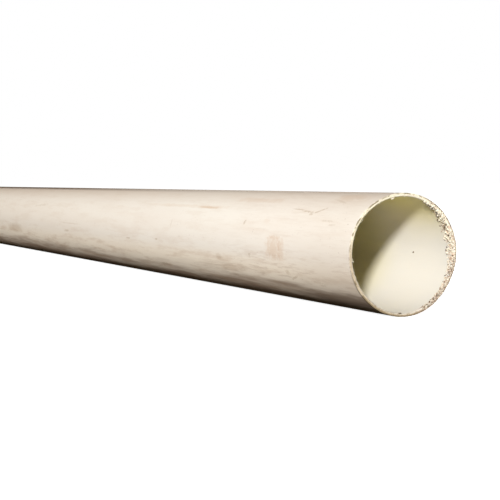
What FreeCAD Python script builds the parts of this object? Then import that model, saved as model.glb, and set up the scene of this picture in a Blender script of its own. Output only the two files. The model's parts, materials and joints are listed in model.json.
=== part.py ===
"""PVC sewer pipe: one straight, plain-ended length of thin-walled gravity sewer pipe.

The pipe is extruded in one piece, so the model is one tube. It lies on a level floor with its
length along X. The +X end is the sawn one, cut square and left sharp. The -X end is the plain
end that the length was sold with, and its edges are broken so that a coupling slides on.

Frame: +Z is up, +X points out of the sawn end, and the origin is on the floor, under the
middle of the pipe. Lengths are in millimetres.
"""

import FreeCAD
import Part

import os

INCH = 25.4

# Driving dimensions: nominal 4 inch sewer pipe with a diameter to wall ratio of 35.
OUTSIDE_DIAMETER = 4.215 * INCH
WALL = 0.120 * INCH
LENGTH = 120 * INCH
EDGE_BREAK = 0.5  # 45 degree break on both edges of the plain end

outside_radius = OUTSIDE_DIAMETER / 2
bore_radius = outside_radius - WALL
sawn_end = LENGTH / 2
plain_end = -LENGTH / 2
axis_height = outside_radius  # the pipe rests on its own wall
edge_break = min(EDGE_BREAK, WALL / 3)


def point(along, radius):
    """A point of the pipe's section: along its axis, and up from that axis."""
    return FreeCAD.Vector(along, 0, axis_height + radius)


def wall_section():
    """The wall cut lengthwise above the axis, as one closed face."""
    corners = [
        point(sawn_end, bore_radius),
        point(sawn_end, outside_radius),
        point(plain_end + edge_break, outside_radius),
        point(plain_end, outside_radius - edge_break),
        point(plain_end, bore_radius + edge_break),
        point(plain_end + edge_break, bore_radius),
    ]
    outline = Part.makePolygon(corners + corners[:1])
    return Part.Face(outline)


def sewer_pipe():
    """The wall's section turned once round the pipe's axis."""
    on_axis = FreeCAD.Vector(0, 0, axis_height)
    along_axis = FreeCAD.Vector(1, 0, 0)
    return wall_section().revolve(on_axis, along_axis, 360)


PARTS = {
    "sewer_pipe": sewer_pipe,
}

os.makedirs("parts", exist_ok=True)
for name, make in PARTS.items():
    shape = make()
    shape.exportStep(os.path.join("parts", name + ".step"))
    print(name, shape.ShapeType, "valid:", shape.isValid(), "volume_mm3:", round(shape.Volume))
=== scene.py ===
"""PVC sewer pipe: the looks of one dirty, rough-sawn length lying on a pale studio floor.

The wall is one tube. Its near end was sawn by hand, so the cut wanders, its edges are burred, and
chips and shavings cling to the bore just behind it. The outside is weathered, streaked and scuffed,
and the bore is clean and creamy. Everything is in metres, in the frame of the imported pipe: +X points
out of the sawn end, +Z is up, and an angle round the pipe starts at +Y and turns towards the top.
"""

import json
import math
import random

import bmesh
import bpy
from mathutils import Matrix, Vector, noise


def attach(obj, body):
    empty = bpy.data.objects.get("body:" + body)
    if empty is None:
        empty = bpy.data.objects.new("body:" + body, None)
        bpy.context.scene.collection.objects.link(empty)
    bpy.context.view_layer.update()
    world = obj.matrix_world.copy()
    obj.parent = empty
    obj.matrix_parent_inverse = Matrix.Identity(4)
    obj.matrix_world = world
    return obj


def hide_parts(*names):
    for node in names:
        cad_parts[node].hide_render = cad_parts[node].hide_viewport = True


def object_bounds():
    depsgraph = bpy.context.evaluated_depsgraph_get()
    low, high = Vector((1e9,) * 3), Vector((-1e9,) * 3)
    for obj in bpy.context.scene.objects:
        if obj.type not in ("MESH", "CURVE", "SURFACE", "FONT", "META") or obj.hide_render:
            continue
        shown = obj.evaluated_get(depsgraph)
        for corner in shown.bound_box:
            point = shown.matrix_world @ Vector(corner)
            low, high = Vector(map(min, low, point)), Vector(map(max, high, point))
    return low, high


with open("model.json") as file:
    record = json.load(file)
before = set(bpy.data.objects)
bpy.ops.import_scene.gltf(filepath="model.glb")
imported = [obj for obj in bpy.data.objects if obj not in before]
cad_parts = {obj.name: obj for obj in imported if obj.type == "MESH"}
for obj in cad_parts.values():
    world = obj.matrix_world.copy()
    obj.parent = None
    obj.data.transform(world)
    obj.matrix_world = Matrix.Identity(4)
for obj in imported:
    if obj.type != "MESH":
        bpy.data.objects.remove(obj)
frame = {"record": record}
cad_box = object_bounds()

MM = 0.001

mounts = {mount["name"]: mount for mount in frame["record"]["mounts"]}
OUTSIDE_RADIUS = mounts["sawn_end_spigot"]["dims"]["r_mm"] * MM
BORE_RADIUS = mounts["bore"]["dims"]["r_mm"] * MM
SAWN_END = mounts["sawn_end_spigot"]["pos_m"][0]
PLAIN_END = cad_box[0][0]
AXIS_HEIGHT = mounts["bore"]["pos_m"][2]
WALL = OUTSIDE_RADIUS - BORE_RADIUS
LENGTH = SAWN_END - PLAIN_END

# The tube's mesh
SEGMENTS = 512
FIRST_RING = 0.35 * MM
OUTSIDE_GROWTH = 1.12
BORE_GROWTH = 1.085
NEAR_STRIP = 1.0  # metres behind the cut that have a strip of the UV map to themselves
SAWN_OUTER_ROUND = 0.2 * MM
SAWN_INNER_BREAK = 1.0 * MM
INNER_BREAK_DEPTH = 1.1 * MM
PLAIN_EDGE_BREAK = 0.5 * MM
FACE_RINGS = 6

# Where the saw wandered back from a square cut: angle and spread in degrees, depth in metres
SAW_WANDER = (
    (140, 38, 3.0 * MM),
    (-42, 34, 2.4 * MM),
    (-165, 25, 0.6 * MM),
)
WANDER_FADES = 80 * MM
CHATTER = 0.25 * MM
FINE_CHATTER = 0.12 * MM

# The relief of the cut's face and edges
TEETH_MARKS = 0.18 * MM
BURR_INWARD = 0.25 * MM
BURR_FORWARD = 0.35 * MM
OUTER_CHIPPING = 0.7 * MM
EDGE_REACH = 0.9 * MM  # how far behind the cut its burrs and chipping reach
CRUST_HEIGHT = 0.4 * MM

# The arc of the bore that the saw broke out of, where most of the swarf clings: it reaches
# furthest into the bore at the middle angle, and less far to both sides
CRUMB_ARC = (-66, 62)
CRUMB_LEAST = 3 * MM
CRUMB_MORE = 9.5 * MM
CRUMB_MIDDLE = 18
CRUMB_SPREAD = 34

# The wall's materials by their place in its list
OUTSIDE, BORE, SAWN = 0, 1, 2


def turn_between(first, second):
    """The smallest turn between two angles in degrees."""
    return (first - second + 180) % 360 - 180


def bump(value, centre, spread):
    """A smooth bump of height 1 about a centre."""
    return math.exp(-(((value - centre) / spread) ** 2))


def round_the_pipe(degrees, radius):
    """The Y and Z of a point at an angle and a radius from the pipe's axis."""
    angle = math.radians(degrees)
    return radius * math.cos(angle), AXIS_HEIGHT + radius * math.sin(angle)


def ring_noise(degrees, waves, seed):
    """Smooth noise between about -1 and 1 that closes up round the pipe."""
    angle = math.radians(degrees)
    reach = waves / math.tau
    return noise.noise(Vector((math.cos(angle) * reach, math.sin(angle) * reach, seed)))


def cut_recess(degrees):
    """How far the sawn end lies behind a square cut at an angle round the pipe."""
    wander = sum(
        depth * bump(turn_between(degrees, centre), 0, spread)
        for centre, spread, depth in SAW_WANDER
    )
    chatter = CHATTER * (1 + ring_noise(degrees, 40, 3.7))
    return wander + chatter + FINE_CHATTER * abs(ring_noise(degrees, 150, 8.1))


def crumb_depth(degrees):
    """How far into the bore the clinging swarf reaches at an angle."""
    if not CRUMB_ARC[0] <= turn_between(degrees, 0) <= CRUMB_ARC[1]:
        return 0
    return CRUMB_LEAST + CRUMB_MORE * bump(turn_between(degrees, CRUMB_MIDDLE), 0, CRUMB_SPREAD)


def new_piece(name, bm, materials):
    """A finished object at the origin, made from a bmesh."""
    mesh = bpy.data.meshes.new(name)
    bm.to_mesh(mesh)
    bm.free()
    for material in materials:
        mesh.materials.append(material)
    piece = bpy.data.objects.new(name, mesh)
    bpy.context.collection.objects.link(piece)
    return piece


# ---------------------------------------------------------------- the tube


def ring_distances(first, growth):
    """Distances behind the cut at which the wall has a ring, close together near the cut."""
    distances = [first]
    step = FIRST_RING
    while distances[-1] + 1.5 * step < LENGTH - PLAIN_EDGE_BREAK:
        step *= growth
        distances.append(min(distances[-1] + step, LENGTH - PLAIN_EDGE_BREAK))
    nearest = min(range(len(distances)), key=lambda i: abs(distances[i] - NEAR_STRIP))
    distances[nearest] = NEAR_STRIP
    return distances


def wall_outline():
    """The wall's section as points (along X, radius), from the cut's outer edge round to it again."""
    outside = [(SAWN_END - d, OUTSIDE_RADIUS) for d in ring_distances(FIRST_RING, OUTSIDE_GROWTH)]
    bore = [(SAWN_END - d, BORE_RADIUS) for d in ring_distances(INNER_BREAK_DEPTH, BORE_GROWTH)]
    plain_face = [
        (PLAIN_END, OUTSIDE_RADIUS - PLAIN_EDGE_BREAK),
        (PLAIN_END, BORE_RADIUS + PLAIN_EDGE_BREAK),
    ]
    first = BORE_RADIUS + SAWN_INNER_BREAK
    step = (WALL - SAWN_INNER_BREAK - SAWN_OUTER_ROUND) / FACE_RINGS
    sawn_face = [(SAWN_END, first + i * step) for i in range(FACE_RINGS + 1)]
    return outside + plain_face + bore[::-1] + sawn_face


def saw_relief(vert):
    """Moves a vertex of the square, smooth tube to where the rough cut leaves it."""
    y, z = vert.co.y, vert.co.z - AXIS_HEIGHT
    radius = math.hypot(y, z)
    degrees = math.degrees(math.atan2(z, y))
    behind = SAWN_END - vert.co.x
    fade = max(0, 1 - behind / WANDER_FADES)
    along = -cut_recess(degrees) * fade
    outward = 0
    through = (radius - BORE_RADIUS) / WALL
    edge = math.exp(-behind / EDGE_REACH)
    # teeth marks across the face, and a burr along both of its edges
    if behind < 0.05 * MM:
        along += TEETH_MARKS * noise.noise(Vector((degrees * 0.9, through * 2.2, 1.3)))
    burr = max(0, ring_noise(degrees, 120, 5.5) + 0.25)
    if through < 0.4:
        outward -= BURR_INWARD * burr * edge
        along += BURR_FORWARD * burr * edge
    if through > 0.7:
        chipped = max(0, ring_noise(degrees, 95, 12.5) - 0.15)
        outward -= OUTER_CHIPPING * chipped * edge
    # a crust of fused dust on the bore, where the saw broke out
    reach = crumb_depth(degrees)
    if through < 0.1 and reach and behind > 0.2 * MM:
        lumps = noise.noise(vert.co * 900) + 0.6 * noise.noise(vert.co * 1900)
        crust = math.exp(-((behind / reach) ** 2))
        outward -= CRUST_HEIGHT * max(0, lumps + 0.15) * crust
    vert.co.x += along
    vert.co.y += outward * y / radius
    vert.co.z += outward * z / radius


def tube_uv(bm):
    """Lays the wall out flat in level strips: each side of it in two lengths, and the cut above."""
    uv = bm.loops.layers.uv.new("OFBake")
    margin, span = 0.004, 0.99
    strip, gap = 0.235, 0.008
    cut_bottom, cut_strip = 0.975, 0.018
    for face in bm.faces:
        centre = face.calc_center_median()
        middle = math.degrees(math.atan2(centre.z - AXIS_HEIGHT, centre.y))
        near = SAWN_END - centre.x < NEAR_STRIP
        row = (0 if near else 1) + (2 if face.material_index == BORE else 0)
        bottom = margin + row * (strip + gap)
        for loop in face.loops:
            co = loop.vert.co
            turn = math.degrees(math.atan2(co.z - AXIS_HEIGHT, co.y))
            around = (middle + turn_between(turn, middle) + 180) / 360
            behind = SAWN_END - co.x
            if face.material_index == SAWN:
                across = (math.hypot(co.y, co.z - AXIS_HEIGHT) - BORE_RADIUS) / WALL
                loop[uv].uv = (margin + span * around, cut_bottom + cut_strip * across)
            elif near:
                loop[uv].uv = (margin + span * behind / NEAR_STRIP, bottom + strip * around)
            else:
                along = (behind - NEAR_STRIP) / (LENGTH - NEAR_STRIP)
                loop[uv].uv = (margin + span * along, bottom + strip * around)


def sewer_pipe_wall(materials):
    """The whole tube: its section spun round the axis, then given the relief of the saw."""
    bm = bmesh.new()
    verts = []
    for along, radius in wall_outline():
        y, z = round_the_pipe(90, radius)
        verts.append(bm.verts.new((along, y, z)))
    edges = [bm.edges.new(pair) for pair in zip(verts, verts[1:] + verts[:1])]
    bmesh.ops.spin(
        bm,
        geom=verts + edges,
        cent=(0, 0, AXIS_HEIGHT),
        axis=(1, 0, 0),
        angle=math.tau,
        steps=SEGMENTS,
        use_merge=True,
    )
    bmesh.ops.recalc_face_normals(bm, faces=bm.faces)
    middle_radius = (OUTSIDE_RADIUS + BORE_RADIUS) / 2
    for face in bm.faces:
        centre = face.calc_center_median()
        radius = math.hypot(centre.y, centre.z - AXIS_HEIGHT)
        if centre.x > SAWN_END - FIRST_RING and radius > BORE_RADIUS + SAWN_INNER_BREAK:
            face.material_index = SAWN
        else:
            face.material_index = BORE if radius < middle_radius else OUTSIDE
        face.smooth = True
    for edge in bm.edges:
        at_plain_end = max(vert.co.x for vert in edge.verts) < PLAIN_END + 2 * PLAIN_EDGE_BREAK
        if at_plain_end and edge.calc_face_angle(0) > math.radians(30):
            edge.smooth = False
    tube_uv(bm)
    for vert in bm.verts:
        saw_relief(vert)
    return new_piece("sewer_pipe_wall", bm, materials)


# ---------------------------------------------------------------- the swarf


def on_the_bore(degrees, behind, lift=0.0):
    """A point at an angle, by how far it lies behind the rough cut and inwards of the bore's wall."""
    y, z = round_the_pipe(degrees, BORE_RADIUS - lift)
    return Vector((SAWN_END - cut_recess(degrees) - behind, y, z))


def chip(bm, chance, place, size, finish):
    """One chip of plastic or dirt: a small ball, squashed, turned and knocked out of shape."""
    sides = [chance.uniform(0.6, 1.5), chance.uniform(0.5, 1.1), chance.uniform(0.5, 1)]
    turn = chance.uniform(0, math.tau)
    axis = Vector((1, chance.random(), chance.random()))
    shape = Matrix.Translation(place) @ Matrix.Rotation(turn, 4, axis) @ Matrix.Diagonal(sides + [1])
    made = bmesh.ops.create_icosphere(bm, subdivisions=1, radius=size, matrix=shape)
    for vert in made["verts"]:
        vert.co += Vector(chance.uniform(-0.3, 0.3) * size for _ in range(3))
        for face in vert.link_faces:
            face.material_index = finish


def shaving(bm, chance, place, radius, width, turns, finish):
    """One curled shaving: a short edge swept round in a loosening coil, and thickened."""
    start = place + Vector((0, 0, radius))
    ends = [bm.verts.new(start), bm.verts.new(start + Vector((0, width, 0)))]
    edge = bm.edges.new(ends)
    axis = Vector((chance.uniform(-0.4, 0.4), 1, chance.uniform(-0.4, 0.4))).normalized()
    swept = bmesh.ops.spin(
        bm,
        geom=ends + [edge],
        cent=place,
        axis=axis,
        dvec=axis * width * 0.2,
        angle=turns * math.tau,
        steps=max(4, round(turns * 12)),
    )
    last = [item for item in swept["geom_last"] if isinstance(item, bmesh.types.BMVert)]
    faces = {face for vert in last for face in vert.link_faces}
    grown = set(faces)
    while grown:
        grown = {f for face in grown for edge in face.edges for f in edge.link_faces} - faces
        faces |= grown
    for face in faces:
        face.material_index = finish
    bmesh.ops.solidify(bm, geom=list(faces), thickness=SHAVING_THICKNESS)


# The swarf's materials by their place in its list
BRIGHT, DARK, PINK = 0, 1, 2

# How many chips there are on the bore, on the sawn face, low on the right, in the dirty patch
# there and along the rim
BORE_CHIPS = 470
FACE_CHIPS = 720
LOW_CHIPS = 150
DIRTY_PATCH_CHIPS = 70
RIM_CHIPS = 90

SHAVING_ANGLES = (66, 63, 60.5, 57, 52, 44, 33, 21)
SHAVING_WIDTH = 0.6 * MM
SHAVING_THICKNESS = 0.16 * MM

# The largest bits of dirt: angle in degrees, distance behind the cut, which is negative where one
# stands proud of it, and size
DIRT_LUMPS = (
    (46.5, 4.6 * MM, 0.75 * MM),
    (43.4, 6.3 * MM, 0.95 * MM),
    (40.8, 7.4 * MM, 0.6 * MM),
    (27.4, 5.9 * MM, 1.05 * MM),
    (25.0, 7.2 * MM, 0.7 * MM),
    (18.7, 4.4 * MM, 0.8 * MM),
    (12.5, 7.6 * MM, 0.6 * MM),
    (6.0, 10.2 * MM, 0.65 * MM),
    (3.2, 11.2 * MM, 0.75 * MM),
    (-2.2, 65.2 * MM, 0.7 * MM),
    (-52.0, 1.0 * MM, 0.7 * MM),
    (-57.0, 0.8 * MM, 0.8 * MM),
    (-61.0, 1.2 * MM, 0.6 * MM),
    (-94.5, -0.9 * MM, 0.6 * MM),
    (-96.5, -1.0 * MM, 0.7 * MM),
    (-65.5, -0.5 * MM, 0.5 * MM),
)

# The largest bright lumps on the bore, in the same terms
BRIGHT_LUMPS = (
    (65.5, 1.0 * MM, 1.2 * MM),
    (61.5, 2.2 * MM, 1.3 * MM),
    (58.0, 4.0 * MM, 1.0 * MM),
    (56.5, 1.6 * MM, 1.1 * MM),
    (53.0, 3.2 * MM, 0.95 * MM),
    (49.0, 2.0 * MM, 1.1 * MM),
    (45.5, 3.0 * MM, 0.9 * MM),
    (38.0, 4.2 * MM, 0.95 * MM),
    (34.0, 3.2 * MM, 0.9 * MM),
    (31.0, 5.6 * MM, 0.85 * MM),
    (22.0, 7.0 * MM, 0.8 * MM),
    (14.0, 5.4 * MM, 0.85 * MM),
    (8.0, 7.8 * MM, 0.7 * MM),
)

# Burrs that hang from the cut's inner edge: angle in degrees and size
RIM_BURRS = (
    (103.8, 1.2 * MM),
    (102.0, 0.8 * MM),
    (142.7, 0.6 * MM),
    (145.0, 0.4 * MM),
    (-174.7, 0.7 * MM),
    (-177.0, 0.4 * MM),
    (171.2, 0.5 * MM),
    (90.5, 0.45 * MM),
    (66.0, 1.0 * MM),
    (63.0, 1.1 * MM),
    (-95.7, 0.5 * MM),
)


def saw_swarf(materials):
    """The chips, dirt and shavings that cling behind the cut, joined in one mesh."""
    chance = random.Random(35)
    bm = bmesh.new()
    for _ in range(BORE_CHIPS):
        degrees = chance.uniform(*CRUMB_ARC)
        behind = chance.random() ** 1.5 * crumb_depth(degrees) * 1.1
        shares = (0.62, 0.14, 0.24) if degrees < 48 else (0.92, 0.03, 0.05)
        finish = chance.choices((BRIGHT, DARK, PINK), shares)[0]
        largest = 0.85 if degrees < -5 else 1.25
        size = chance.uniform(0.4, largest if finish == BRIGHT else 0.9) ** 1.3 * MM
        chip(bm, chance, on_the_bore(degrees, behind, size * 0.4), size, finish)
    for _ in range(FACE_CHIPS):
        degrees = chance.uniform(*CRUMB_ARC) if chance.random() < 0.5 else chance.uniform(-66, -4)
        shares = (0.7, 0.1, 0.2) if degrees > -4 else (0.34, 0.36, 0.3)
        finish = chance.choices((BRIGHT, DARK, PINK), shares)[0]
        size = chance.uniform(0.3, 0.6) * MM
        outside = chance.uniform(-0.3, 2.7) * MM
        chip(bm, chance, on_the_bore(degrees, -0.12 * MM, -outside), size, finish)
    for _ in range(LOW_CHIPS):
        degrees = chance.uniform(-68, -14)
        finish = chance.choices((DARK, PINK), (0.7, 0.3))[0]
        size = chance.uniform(0.26, 0.5) * MM
        chip(bm, chance, on_the_bore(degrees, chance.uniform(0, 3) * MM, size * 0.3), size, finish)
    for _ in range(DIRTY_PATCH_CHIPS):
        degrees = chance.gauss(-52, 3.5)
        size = chance.uniform(0.3, 0.6) * MM
        place = on_the_bore(degrees, -0.15 * MM, -chance.uniform(0.4, 2.8) * MM)
        chip(bm, chance, place, size, chance.choice((DARK, DARK, PINK)))
    for _ in range(RIM_CHIPS):
        degrees = chance.uniform(-180, 180)
        size = chance.uniform(0.18, 0.4) * MM
        chip(bm, chance, on_the_bore(degrees, chance.uniform(0, 0.8) * MM), size, BRIGHT)
    for degrees, behind, size in DIRT_LUMPS:
        chip(bm, chance, on_the_bore(degrees, behind, size * 0.3), size * 1.2, DARK)
    for degrees, behind, size in BRIGHT_LUMPS:
        chip(bm, chance, on_the_bore(degrees, behind, size * 0.5), size, BRIGHT)
    for degrees, size in RIM_BURRS:
        chip(bm, chance, on_the_bore(degrees, 0.2 * MM, size * 0.5), size, BRIGHT)
    for degrees in SHAVING_ANGLES:
        place = on_the_bore(degrees, chance.uniform(0.5, 2.5) * MM, 0.9 * MM)
        radius = chance.uniform(0.6, 1.1) * MM
        shaving(bm, chance, place, radius, SHAVING_WIDTH, chance.uniform(0.5, 1.2), BRIGHT)
    bmesh.ops.recalc_face_normals(bm, faces=bm.faces)
    return new_piece("saw_swarf", bm, materials)


# ---------------------------------------------------------------- material helpers


def srgb(red, green, blue):
    """A colour written as 0 to 255 values, in Blender's linear numbers."""
    def linear(value):
        value /= 255
        return value / 12.92 if value <= 0.04045 else ((value + 0.055) / 1.055) ** 2.4

    return (linear(red), linear(green), linear(blue), 1)


class Nodes:
    """A node tree with short calls to add a node, join sockets and do sums."""

    def __init__(self, tree):
        self.tree = tree

    def add(self, kind, inputs=None, **settings):
        node = self.tree.nodes.new(kind)
        for name, value in settings.items():
            setattr(node, name, value)
        for key, value in (inputs or {}).items():
            self.put(node.inputs[key], value)
        return node

    def put(self, socket, value):
        if isinstance(value, bpy.types.NodeSocket):
            self.tree.links.new(value, socket)
        else:
            socket.default_value = value

    def math(self, operation, first, second=0.0, clamp=False):
        node = self.add("ShaderNodeMath", {0: first, 1: second}, operation=operation, use_clamp=clamp)
        return node.outputs[0]

    def times(self, first, *others):
        """The product of two or more values."""
        for value in others:
            first = self.math("MULTIPLY", first, value)
        return first

    def ramp(self, value, low, high, to_low=0.0, to_high=1.0):
        """A value eased from one range into another, and held at its ends."""
        inputs = {"Value": value, "From Min": low, "From Max": high, "To Min": to_low, "To Max": to_high}
        node = self.add("ShaderNodeMapRange", inputs, interpolation_type="SMOOTHSTEP")
        return node.outputs["Result"]

    def wrap(self, value, low, high):
        """A value brought into a range by going round it."""
        inputs = {0: value, 1: high, 2: low}
        return self.add("ShaderNodeMath", inputs, operation="WRAP").outputs[0]

    def mix(self, share, first, second, blend="MIX"):
        inputs = {0: share, 6: first, 7: second}
        node = self.add("ShaderNodeMix", inputs, data_type="RGBA", blend_type=blend)
        return node.outputs[2]

    def noise(self, vector, scale, detail=2.0, roughness=0.5, stretch=(1, 1, 1)):
        """Noise from 0 to 1 on a vector, drawn out along an axis where stretch is under 1."""
        mapping = self.add("ShaderNodeMapping", {"Vector": vector, "Scale": stretch})
        inputs = {"Vector": mapping.outputs[0], "Scale": scale, "Detail": detail, "Roughness": roughness}
        return self.add("ShaderNodeTexNoise", inputs).outputs["Fac"]

    def group(self, name, inputs):
        node = self.add("ShaderNodeGroup", node_tree=bpy.data.node_groups[name])
        for key, value in inputs.items():
            self.put(node.inputs[key], value)
        return node.outputs


def new_group(name, inputs, outputs):
    """An empty node group: inputs are name to (socket kind, value), outputs name to socket kind."""
    tree = bpy.data.node_groups.new(name, "ShaderNodeTree")
    for label, (kind, value) in inputs.items():
        socket = tree.interface.new_socket(label, in_out="INPUT", socket_type="NodeSocket" + kind)
        if value is not None:
            socket.default_value = value
    for label, kind in outputs.items():
        tree.interface.new_socket(label, in_out="OUTPUT", socket_type="NodeSocket" + kind)
    nodes = Nodes(tree)
    return nodes, nodes.add("NodeGroupInput").outputs, nodes.add("NodeGroupOutput").inputs


def make_place_group():
    """Where a point is on the pipe: its distance behind the cut, its angle, radius and height.

    "Left angle" is the angle again, from -60 to 300 degrees, so that it has no jump on the left.
    """
    labels = ("Behind", "Angle", "Left angle", "Radius", "Height")
    nodes, given, out = new_group(
        "place on the pipe",
        {"Position": ("Vector", None)},
        {label: "Float" for label in labels},
    )
    parts = nodes.add("ShaderNodeSeparateXYZ", {0: given["Position"]}).outputs
    up = nodes.math("SUBTRACT", parts["Z"], AXIS_HEIGHT)
    nodes.put(out["Behind"], nodes.math("SUBTRACT", SAWN_END, parts["X"]))
    nodes.put(out["Height"], parts["Z"])
    angle = nodes.times(nodes.math("ARCTAN2", up, parts["Y"]), 180 / math.pi)
    nodes.put(out["Angle"], angle)
    nodes.put(out["Left angle"], nodes.wrap(angle, -60.0, 300.0))
    squares = nodes.math("ADD", nodes.times(up, up), nodes.times(parts["Y"], parts["Y"]))
    nodes.put(out["Radius"], nodes.math("SQRT", squares))


def make_mark_group():
    """One smudge, scuff or speck on the wall: a soft patch at a place, eaten away by noise."""
    nodes, given, out = new_group(
        "mark",
        {
            "Position": ("Vector", None),
            "Behind": ("Float", 0.0),
            "Angle": ("Float", 0.0),
            "At distance": ("Float", 0.1),
            "At angle": ("Float", 0.0),
            "Half length": ("Float", 0.01),
            "Half width": ("Float", 5.0),
            "Slant": ("Float", 0.0),
            "Ragged": ("Float", 0.5),
            "Grain": ("Float", 400.0),
            "Strength": ("Float", 1.0),
        },
        {"Mask": "Float"},
    )
    away = nodes.math("SUBTRACT", given["Behind"], given["At distance"])
    lean = nodes.times(away, given["Slant"])
    off = nodes.math("SUBTRACT", nodes.math("SUBTRACT", given["Angle"], given["At angle"]), lean)
    turned = nodes.math("ABSOLUTE", nodes.wrap(off, -180.0, 180.0))
    across = nodes.math("DIVIDE", turned, given["Half width"])
    lengthwise = nodes.math("DIVIDE", nodes.math("ABSOLUTE", away), given["Half length"])
    cubes = nodes.math("ADD", nodes.math("POWER", across, 3.0), nodes.math("POWER", lengthwise, 3.0))
    furthest = nodes.math("POWER", cubes, 1 / 3)
    inputs = {"Vector": given["Position"], "Scale": given["Grain"], "Detail": 3.0, "Roughness": 0.7}
    grain = nodes.add("ShaderNodeTexNoise", inputs).outputs["Fac"]
    eaten = nodes.times(nodes.math("SUBTRACT", grain, 0.5), given["Ragged"], 4.0)
    edge = nodes.math("ADD", furthest, eaten)
    soft = nodes.ramp(edge, 0.3, 1.2, 1.0, 0.0)
    inside = nodes.ramp(furthest, 0.8, 1.3, 1.0, 0.0)
    mask = nodes.math("MULTIPLY", nodes.times(soft, inside), given["Strength"], clamp=True)
    nodes.put(out["Mask"], mask)


def make_grime_group():
    """Handling dirt: lengthwise streaks, soft blotches and small brown specks."""
    nodes, given, out = new_group(
        "grime",
        {
            "Position": ("Vector", None),
            "Streaks": ("Float", 0.5),
            "Blotches": ("Float", 0.5),
            "Specks": ("Float", 0.5),
        },
        {"Film": "Float", "Specks": "Float"},
    )
    place = given["Position"]
    fine = nodes.ramp(nodes.noise(place, 150, 4, 0.6, (0.05, 1, 1)), 0.42, 0.78)
    broad = nodes.ramp(nodes.noise(place, 45, 3, 0.55, (0.09, 1, 1)), 0.45, 0.75)
    both = nodes.math("ADD", nodes.times(fine, 0.5), broad)
    streaks = nodes.times(both, given["Streaks"])
    cloud = nodes.ramp(nodes.noise(place, 22, 5, 0.62, (0.45, 1, 1)), 0.45, 0.72)
    blotches = nodes.times(cloud, given["Blotches"])
    nodes.put(out["Film"], nodes.math("ADD", streaks, blotches, clamp=True))
    dots = nodes.noise(place, 420, 2, 0.5)
    gathered = nodes.ramp(nodes.noise(place, 30, 2, 0.5), 0.42, 0.7)
    dotted = nodes.times(nodes.ramp(dots, 0.69, 0.74), gathered)
    nodes.put(out["Specks"], nodes.math("MULTIPLY", dotted, given["Specks"], clamp=True))


def make_swarf_dust_group():
    """Fine saw dust in the arc where the saw broke out: brown stains and dark speckle."""
    nodes, given, out = new_group(
        "swarf dust",
        {"Position": ("Vector", None), "Angle": ("Float", 0.0), "Grain": ("Float", 560.0)},
        {"Stain": "Float", "Speckle": "Float"},
    )
    in_arc = nodes.times(nodes.ramp(given["Angle"], -78, -62), nodes.ramp(given["Angle"], 69, 57))
    clouds = nodes.ramp(nodes.noise(given["Position"], 270, 3, 0.6), 0.48, 0.63)
    nodes.put(out["Stain"], nodes.times(in_arc, clouds))
    dots = nodes.ramp(nodes.noise(given["Position"], given["Grain"], 3, 0.6), 0.53, 0.62)
    nodes.put(out["Speckle"], nodes.times(in_arc, dots))


def make_beaded_dirt_group():
    """Dirt that has dried in beads: more of it or less, between two strengths."""
    nodes, given, out = new_group(
        "beaded dirt",
        {
            "Position": ("Vector", None),
            "Gaps": ("Float", 0.4),
            "Least": ("Float", 0.1),
            "Most": ("Float", 0.8),
        },
        {"Mask": "Float"},
    )
    beads = nodes.noise(given["Position"], 420, 3, 0.6)
    nodes.put(out["Mask"], nodes.ramp(beads, given["Gaps"], 0.6, given["Least"], given["Most"]))


def new_material(name):
    """A material with its Principled shader, and helpers on its node tree."""
    material = bpy.data.materials.new(name)
    material.use_nodes = True
    nodes = Nodes(material.node_tree)
    shader = material.node_tree.nodes["Principled BSDF"]
    position = nodes.add("ShaderNodeTexCoord").outputs["Object"]
    return material, nodes, shader, position


def add_bump(nodes, shader, height, distance):
    """Feeds a height into the shader's normal."""
    bumped = nodes.add("ShaderNodeBump", {"Height": height, "Distance": distance, "Strength": 1.0})
    nodes.put(shader.inputs["Normal"], bumped.outputs["Normal"])


# ---------------------------------------------------------------- the finishes

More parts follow.
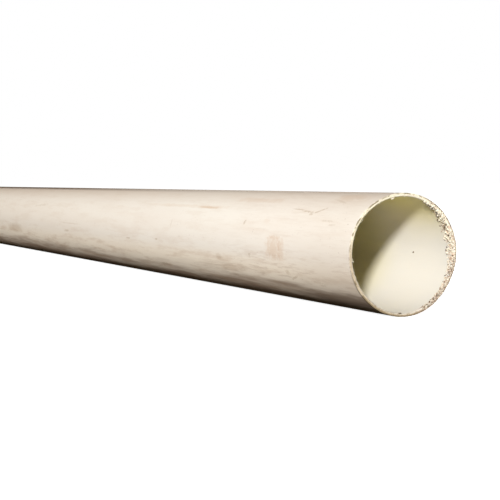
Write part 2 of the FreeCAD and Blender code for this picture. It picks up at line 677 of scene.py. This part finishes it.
# Marks on the outside. Each is its distance behind the cut, angle, half length, half width in
# degrees, slant in degrees a metre, raggedness, grain and strength.
PINK_MARKS = (
    (134 * MM, 181, 8 * MM, 13, 0, 0.4, 260, 0.55),
    (151 * MM, 180, 18 * MM, 13, 0, 0.5, 230, 0.66),
    (150 * MM, 169, 16 * MM, 2.2, 0, 0.8, 500, 0.5),
    (48 * MM, 113, 34 * MM, 9, 0, 0.5, 60, 0.5),
    (335 * MM, 139, 32 * MM, 2.0, 0, 0.3, 60, 0.7),
    (410 * MM, 138, 140 * MM, 3.0, 0, 0.5, 45, 0.3),
    (230 * MM, 124, 60 * MM, 5, 0, 0.5, 60, 0.35),
    (176 * MM, 152, 8 * MM, 3, 0, 0.7, 300, 0.25),
)
DARK_MARKS = (
    (124 * MM, 136.0, 14 * MM, 0.9, -40, 0.6, 420, 0.55),
    (102 * MM, 138.5, 15 * MM, 1.1, -70, 1.0, 420, 0.65),
    (82 * MM, 137, 11 * MM, 1.2, 420, 1.0, 420, 0.65),
    (94 * MM, 141.5, 4 * MM, 1.4, 0, 0.9, 420, 0.6),
    (62 * MM, 122, 16 * MM, 1.6, -240, 0.9, 420, 0.35),
    (54 * MM, 148, 13 * MM, 1.2, 0, 0.95, 500, 0.35),
    (44 * MM, 152, 8 * MM, 1.2, 0, 0.95, 500, 0.35),
    (225 * MM, 155, 2.4 * MM, 3.0, 300, 0.8, 520, 0.55),
    (205 * MM, 190, 3 * MM, 2.2, 0, 0.8, 520, 0.45),
    (128 * MM, 204, 5 * MM, 3.2, 0, 0.8, 420, 0.5),
    (116 * MM, 209, 9 * MM, 1.4, 300, 0.8, 420, 0.6),
    (72 * MM, 211, 15 * MM, 1.4, 0, 0.9, 360, 0.5),
    (66 * MM, 214, 7 * MM, 1.6, 0, 0.9, 360, 0.5),
    (285 * MM, 196, 8 * MM, 4, 0, 0.85, 300, 0.35),
    (422 * MM, 163, 1.6 * MM, 6, 0, 0.5, 300, 0.3),
    (466 * MM, 184.5, 5 * MM, 1.4, 0, 0.6, 500, 0.6),
    (566 * MM, 187.5, 9 * MM, 1.2, 0, 0.6, 500, 0.6),
    (835 * MM, 188, 14 * MM, 1.8, 0, 0.7, 400, 0.5),
    (812 * MM, 176, 48 * MM, 1.2, 0, 0.5, 120, 0.3),
    (990 * MM, 150, 40 * MM, 2.4, 60, 0.7, 160, 0.25),
    (470 * MM, 220, 26 * MM, 3, 60, 0.8, 160, 0.5),
    (1130 * MM, 194, 52 * MM, 9, 0, 0.25, 60, 0.5),
)
MARK_INPUTS = (
    "At distance",
    "At angle",
    "Half length",
    "Half width",
    "Slant",
    "Ragged",
    "Grain",
    "Strength",
)


def add_marks(nodes, place, position, colour, marks, tint):
    """Lays a list of marks over a colour, each with its own mark group."""
    for values in marks:
        inputs = {"Position": position, "Behind": place["Behind"], "Angle": place["Angle"]}
        inputs.update(zip(MARK_INPUTS, values))
        mask = nodes.group("mark", inputs)["Mask"]
        colour = nodes.mix(mask, colour, tint, "MULTIPLY")
    return colour


def make_weathered_pvc():
    """The outside: chalky off-white plastic with a pinkish cast, dirt streaks and scuffs."""
    material, nodes, shader, position = new_material("weathered_pvc")
    place = nodes.group("place on the pipe", {"Position": position})
    grime = nodes.group("grime", {"Position": position, "Streaks": 0.42, "Blotches": 0.4, "Specks": 0.8})
    tone = nodes.noise(position, 9, 3, 0.5, (0.25, 1, 1))
    colour = nodes.mix(nodes.ramp(tone, 0.35, 0.65), srgb(235, 228, 216), srgb(232, 223, 211))
    # older dirt towards the far end, and a brown film low on both sides, which is painted shade on the
    # underside
    age = nodes.ramp(place["Behind"], 0.2, 1.5)
    colour = nodes.mix(nodes.times(age, 0.8), colour, srgb(232, 220, 204))
    height = place["Height"]
    drawn_out = nodes.noise(position, 75, 4, 0.6, (0.09, 1, 1))
    wavering = nodes.math("ADD", height, nodes.ramp(drawn_out, 0.25, 0.75, 0, 0.02))
    # painted light: a lighter, warmer tone below the axis, where the lower side turns from the key light
    colour = nodes.mix(nodes.ramp(height, 0.052, 0.03), colour, srgb(245, 231, 211))
    # painted shade: brown, darkest at the bottom of the pipe
    underside_shade = nodes.ramp(wavering, 0.041, 0.012)
    colour = nodes.mix(nodes.times(underside_shade, 0.92), colour, srgb(158, 129, 106))
    # tan over the upper side, partly dust and partly painted shade where the top turns from the light,
    # and a dark line of painted shade along the crown, stronger towards the far end
    farther = nodes.ramp(place["Behind"], 0.1, 1.05, 0.12, 0.95)
    top_dust_and_shade = nodes.times(nodes.ramp(height, 0.086, 0.106), nodes.ramp(farther, 0, 1, 0.44, 0.62))
    colour = nodes.mix(top_dust_and_shade, colour, srgb(214, 193, 172))
    thinning = nodes.ramp(place["Behind"], 2.5, 1.4, 0.45, 1)
    crown_shade_reach = nodes.times(nodes.ramp(place["Behind"], 0.3, 1.15, 0.12, 1), thinning)
    # painted shade: the dark line along the top edge
    crown = nodes.times(nodes.ramp(height, 0.1031, 0.1064, 0, 0.9), crown_shade_reach)
    colour = nodes.mix(crown, colour, srgb(102, 82, 66))
    # soft smears rubbed along the pipe, plainer on its lower half
    smear = nodes.ramp(nodes.noise(position, 120, 4, 0.65, (0.13, 1, 1)), 0.46, 0.7)
    rubbed = nodes.times(smear, nodes.ramp(height, 0.06, 0.026, 0.14, 0.45))
    colour = nodes.mix(rubbed, colour, srgb(198, 170, 142))
    fine = nodes.ramp(nodes.noise(position, 260, 4, 0.7, (0.1, 1, 1)), 0.5, 0.64)
    lower = nodes.ramp(height, 0.062, 0.03, 0.08, 0.34)
    nearer = nodes.times(nodes.ramp(place["Behind"], 0.5, 0.1), lower)
    colour = nodes.mix(nodes.times(fine, nearer), colour, srgb(178, 150, 126))
    colour = nodes.mix(nodes.times(grime["Film"], 0.25), colour, srgb(212, 190, 170))
    colour = nodes.mix(nodes.times(grime["Specks"], 0.55), colour, srgb(132, 104, 84))
    colour = add_marks(nodes, place, position, colour, PINK_MARKS, srgb(238, 222, 208))
    colour = add_marks(nodes, place, position, colour, DARK_MARKS, srgb(214, 202, 188))
    # handled and dusty for a hand's breadth behind the cut, and painted shade low on the underside there
    less_on_top = nodes.ramp(height, 0.08, 0.03, 0.22, 0.5)
    handled = nodes.times(nodes.ramp(place["Behind"], 0.17, 0.02), less_on_top)
    colour = nodes.mix(handled, colour, srgb(207, 192, 175))
    # painted shade: dark brown low on the underside near the cut
    lowest = nodes.ramp(wavering, 0.032, 0.018, 0, 0.45)
    under = nodes.times(nodes.ramp(place["Behind"], 0.22, 0.06), lowest)
    colour = nodes.mix(under, colour, srgb(104, 78, 60))
    # a dark band against the cut's outer edge, partly dirt and partly painted shade, unbroken low down
    near_cut = nodes.ramp(place["Behind"], 0.0042, 0.001)
    clumps = nodes.ramp(nodes.noise(position, 230, 3, 0.6), 0.44, 0.58)
    caught = nodes.math("MAXIMUM", clumps, nodes.ramp(height, 0.048, 0.034))
    cut_edge_dirt_and_shade = nodes.times(near_cut, caught)
    colour = nodes.mix(nodes.times(cut_edge_dirt_and_shade, 0.85), colour, srgb(112, 94, 66))
    nodes.put(shader.inputs["Base Color"], colour)
    rough = nodes.math("ADD", 0.52, nodes.times(grime["Film"], 0.25))
    nodes.put(shader.inputs["Roughness"], rough)
    shader.inputs["Specular IOR Level"].default_value = 0.0
    scratches = nodes.noise(position, 700, 3, 0.6, (0.02, 1, 1))
    grit = nodes.noise(position, 900, 3, 0.6)
    relief = nodes.math("ADD", nodes.times(scratches, 0.6), nodes.times(grit, 0.4))
    add_bump(nodes, shader, relief, 0.12 * MM)
    return material


def make_bore_pvc():
    """The bore: clean, smooth, creamy yellow plastic, dusty just behind the cut."""
    material, nodes, shader, position = new_material("bore_pvc")
    place = nodes.group("place on the pipe", {"Position": position})
    grime = nodes.group("grime", {"Position": position, "Streaks": 0.2, "Blotches": 0.3, "Specks": 0.12})
    # the lit bore is pale cream; where it lies in shade, in the upper half, on the left side and deep
    # inside, it is a brighter, yellower cream, which is painted light and a painted tint in the shade
    deep = nodes.ramp(place["Behind"], 0.08, 0.165)
    upper = nodes.ramp(place["Angle"], 22, 78)
    left = place["Left angle"]
    left_side = nodes.times(nodes.ramp(left, 105, 150), nodes.ramp(left, 228, 196))
    inwards = nodes.ramp(place["Behind"], 0.02, 0.11)
    creamy = nodes.mix(inwards, srgb(252, 240, 158), srgb(234, 226, 182))
    # painted shade: a darker cream deep inside at low angles, beside the shadow's edge
    creamy = nodes.mix(nodes.ramp(place["Angle"], 12, -12), creamy, srgb(216, 207, 168))
    # painted light and tint: the zones where the bore lies in shade take the brighter, yellower cream
    shade_tint_zone = nodes.math("MAXIMUM", deep, nodes.math("MAXIMUM", upper, left_side))
    past_edge = nodes.ramp(place["Behind"], 0.0015, 0.006)
    # painted light: the lit cream brighter further up the bore, where the key falls at a grazing angle
    painted_light_up_the_bore = nodes.ramp(place["Angle"], 5, 40)
    pale = nodes.mix(painted_light_up_the_bore, srgb(214, 209, 200), srgb(230, 222, 200))
    colour = nodes.mix(nodes.times(shade_tint_zone, past_edge), pale, creamy)
    colour = nodes.mix(nodes.times(grime["Film"], 0.12), colour, srgb(206, 194, 158))
    colour = nodes.mix(nodes.times(grime["Specks"], 0.5), colour, srgb(140, 120, 90))
    # stained dust in the arc where the saw broke out
    dust = nodes.group("swarf dust", {"Position": position, "Angle": place["Angle"], "Grain": 620.0})
    reach = nodes.math("ADD", 0.006, nodes.times(nodes.ramp(place["Angle"], -40, 20), 0.0045))
    near = nodes.ramp(nodes.math("DIVIDE", place["Behind"], reach), 1.25, 0.7)
    stain = nodes.times(near, dust["Stain"], 0.9)
    colour = nodes.mix(stain, colour, srgb(222, 194, 170))
    fading = nodes.ramp(place["Angle"], 52, 26, 0.25, 1)
    speckle = nodes.times(near, dust["Speckle"], 0.7, fading)
    colour = nodes.mix(speckle, colour, srgb(112, 92, 66))
    # the broken inner edge is dull and dirty low down
    at_edge = nodes.ramp(place["Behind"], 0.0026, 0.0014)
    low = nodes.ramp(place["Height"], 0.05, 0.014)
    given = {"Position": position, "Gaps": 0.38, "Least": 0.35, "Most": 0.8}
    beads = nodes.group("beaded dirt", given)["Mask"]
    colour = nodes.mix(nodes.times(at_edge, low, beads), colour, srgb(150, 134, 106))
    nodes.put(shader.inputs["Base Color"], colour)
    rough = nodes.math("ADD", 0.42, nodes.times(grime["Film"], 0.2))
    nodes.put(shader.inputs["Roughness"], rough)
    shader.inputs["Specular IOR Level"].default_value = 0.3
    drawn = nodes.noise(position, 500, 2, 0.5, (0.03, 1, 1))
    add_bump(nodes, shader, drawn, 0.04 * MM)
    return material


def make_sawn_pvc():
    """The cut face: raw cream plastic with saw scratches and a little dirt smeared over it."""
    material, nodes, shader, position = new_material("sawn_pvc")
    place = nodes.group("place on the pipe", {"Position": position})
    torn = nodes.noise(position, 900, 4, 0.7)
    colour = nodes.mix(nodes.ramp(torn, 0.35, 0.7), srgb(216, 208, 187), srgb(195, 184, 158))
    smear = nodes.ramp(nodes.noise(position, 320, 4, 0.65), 0.58, 0.7)
    colour = nodes.mix(nodes.times(smear, 0.6), colour, srgb(150, 126, 92))
    left = place["Left angle"]
    lower_left = nodes.times(nodes.ramp(left, 158, 180), nodes.ramp(left, 299, 284))
    colour = nodes.mix(nodes.times(lower_left, 0.72), colour, srgb(152, 134, 108))
    # a dark line along the outer edge, partly dirt and partly painted edge shade: unbroken at the right
    # and the bottom, in patches elsewhere
    inset = nodes.math("SUBTRACT", OUTSIDE_RADIUS, place["Radius"])
    outer = nodes.ramp(inset, 1.5 * MM, 0.8 * MM)
    patches = nodes.ramp(nodes.noise(position, 110, 3, 0.6), 0.46, 0.6, 0, 0.9)
    from_right = nodes.wrap(nodes.math("ADD", place["Angle"], 30.0), -180.0, 180.0)
    right_side = nodes.ramp(nodes.math("ABSOLUTE", from_right), 108, 88)
    rim_dirt_and_shade = nodes.times(outer, nodes.math("MAXIMUM", patches, right_side))
    colour = nodes.mix(nodes.times(rim_dirt_and_shade, 0.9), colour, srgb(98, 84, 56))
    angle = place["Angle"]
    lower_right = nodes.times(nodes.ramp(angle, -80, -64), nodes.ramp(angle, -4, -24))
    colour = nodes.mix(nodes.times(lower_right, 0.62), colour, srgb(140, 124, 104))
    lowest = nodes.times(nodes.ramp(angle, -140, -122), nodes.ramp(angle, -62, -72))
    given = {"Position": position, "Gaps": 0.42, "Least": 0.1, "Most": 0.8}
    beads = nodes.group("beaded dirt", given)["Mask"]
    colour = nodes.mix(nodes.times(lowest, beads), colour, srgb(128, 110, 86))
    # swarf dust caught on the face where the saw broke out
    dust = nodes.group("swarf dust", {"Position": position, "Angle": place["Angle"], "Grain": 520.0})
    colour = nodes.mix(nodes.times(dust["Stain"], 0.65), colour, srgb(180, 154, 138))
    colour = nodes.mix(nodes.times(dust["Speckle"], 0.85), colour, srgb(88, 70, 54))
    nodes.put(shader.inputs["Base Color"], colour)
    nodes.put(shader.inputs["Roughness"], nodes.ramp(torn, 0.2, 0.8, 0.6, 0.85))
    shader.inputs["Specular IOR Level"].default_value = 0.2
    add_bump(nodes, shader, torn, 0.3 * MM)
    return material


def make_chip_material(name, light, dark):
    """Loose bits: two tones broken up by noise, rough all over."""
    material, nodes, shader, position = new_material(name)
    grain = nodes.noise(position, 1500, 3, 0.6)
    nodes.put(shader.inputs["Base Color"], nodes.mix(nodes.ramp(grain, 0.35, 0.65), light, dark))
    nodes.put(shader.inputs["Roughness"], nodes.ramp(grain, 0.2, 0.8, 0.6, 0.9))
    shader.inputs["Specular IOR Level"].default_value = 0.2
    return material


# ---------------------------------------------------------------- the studio

VIEW_AZIMUTH = 65.22  # degrees from +Y towards -X
VIEW_DOWN = 3.10
CAMERA_FROM_END = Vector((0.929, -0.5755, 0.0631))  # from the middle of the sawn end
LENS = 91.0

# The lights: name, direction from the sawn end, distance, size and power. The key throws the slant
# shadow in the bore, so its direction sets where that shadow's edge runs.
LIGHTS = (
    ("key", Vector((0.781, -0.545, 0.303)), 10.0, 1.0, 1920),
    ("front", Vector((1, -0.42, 0.13)), 9.0, 2.0, 72),
    ("back", Vector((-0.25, 1, 0.06)), 8.0, 3.0, 700),
)


def add_camera():
    camera = bpy.data.cameras.new("camera")
    camera.lens = LENS
    camera.sensor_width = 36
    camera.clip_end = 200
    holder = bpy.data.objects.new("camera", camera)
    holder.location = Vector((SAWN_END, 0, AXIS_HEIGHT)) + CAMERA_FROM_END
    holder.rotation_euler = (math.radians(90 - VIEW_DOWN), 0, math.radians(VIEW_AZIMUTH))
    bpy.context.collection.objects.link(holder)
    bpy.context.scene.camera = holder


def add_softbox(name, direction, distance, size, power):
    """A round soft light that shines on the sawn end from a direction."""
    light = bpy.data.lights.new(name, "AREA")
    light.shape = "DISK"
    light.size = size
    light.energy = power
    holder = bpy.data.objects.new(name, light)
    target = Vector((SAWN_END, 0, AXIS_HEIGHT))
    holder.location = target + direction.normalized() * distance
    holder.rotation_euler = (target - holder.location).to_track_quat("-Z", "Y").to_euler()
    bpy.context.collection.objects.link(holder)


def seen_directly(nodes):
    """1 for a camera, glossy or transmission ray, and 0 for the others."""
    path = nodes.add("ShaderNodeLightPath").outputs
    seen = nodes.math("MAXIMUM", path["Is Camera Ray"], path["Is Transmission Ray"])
    return nodes.math("MAXIMUM", seen, path["Is Glossy Ray"])


def add_world():
    """White where it is seen, and only a dim fill where it lights the pipe."""
    world = bpy.data.worlds.new("studio")
    world.use_nodes = True
    nodes = Nodes(world.node_tree)
    background = world.node_tree.nodes["Background"]
    background.inputs["Color"].default_value = (1, 1, 1, 1)
    nodes.put(background.inputs["Strength"], nodes.ramp(seen_directly(nodes), 0, 1, 0.05, 1.0))
    bpy.context.scene.world = world


def add_floor():
    """A wide floor, white where it is seen. It keeps the pipe's shadow, and throws little light up."""
    bm = bmesh.new()
    bmesh.ops.create_grid(bm, x_segments=8, y_segments=8, size=60)
    material, nodes, shader, position = new_material("studio_floor")
    shader.inputs["Roughness"].default_value = 1.0
    shader.inputs["Specular IOR Level"].default_value = 0.0
    seen = seen_directly(nodes)
    tone = nodes.noise(position, 3, 2)
    pale = nodes.mix(tone, (0.86, 0.86, 0.86, 1), (0.84, 0.84, 0.84, 1))
    nodes.put(shader.inputs["Base Color"], nodes.mix(seen, (0.06, 0.05, 0.035, 1), pale))
    shader.inputs["Emission Color"].default_value = (1, 1, 1, 1)
    away = nodes.add("ShaderNodeVectorMath", {0: position}, operation="LENGTH").outputs["Value"]
    glow = nodes.ramp(away, 2.0, 7.0, 0.93, 1.0)
    nodes.put(shader.inputs["Emission Strength"], nodes.times(seen, glow))
    floor = new_piece("studio_floor", bm, [material])


def main():
    make_place_group()
    make_mark_group()
    make_grime_group()
    make_swarf_dust_group()
    make_beaded_dirt_group()
    pipe = sewer_pipe_wall([make_weathered_pvc(), make_bore_pvc(), make_sawn_pvc()])
    swarf = saw_swarf([
        make_chip_material("pvc_chips", srgb(218, 211, 195), srgb(196, 184, 160)),
        make_chip_material("dirt_chips", srgb(112, 94, 72), srgb(74, 60, 46)),
        make_chip_material("stained_chips", srgb(188, 166, 148), srgb(150, 128, 110)),
    ])
    for piece in (pipe, swarf):
        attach(piece, "root")
    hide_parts("sewer_pipe")
    add_camera()
    for light in LIGHTS:
        add_softbox(*light)
    add_world()
    add_floor()
    bpy.context.scene.view_settings.view_transform = "Standard"


main()
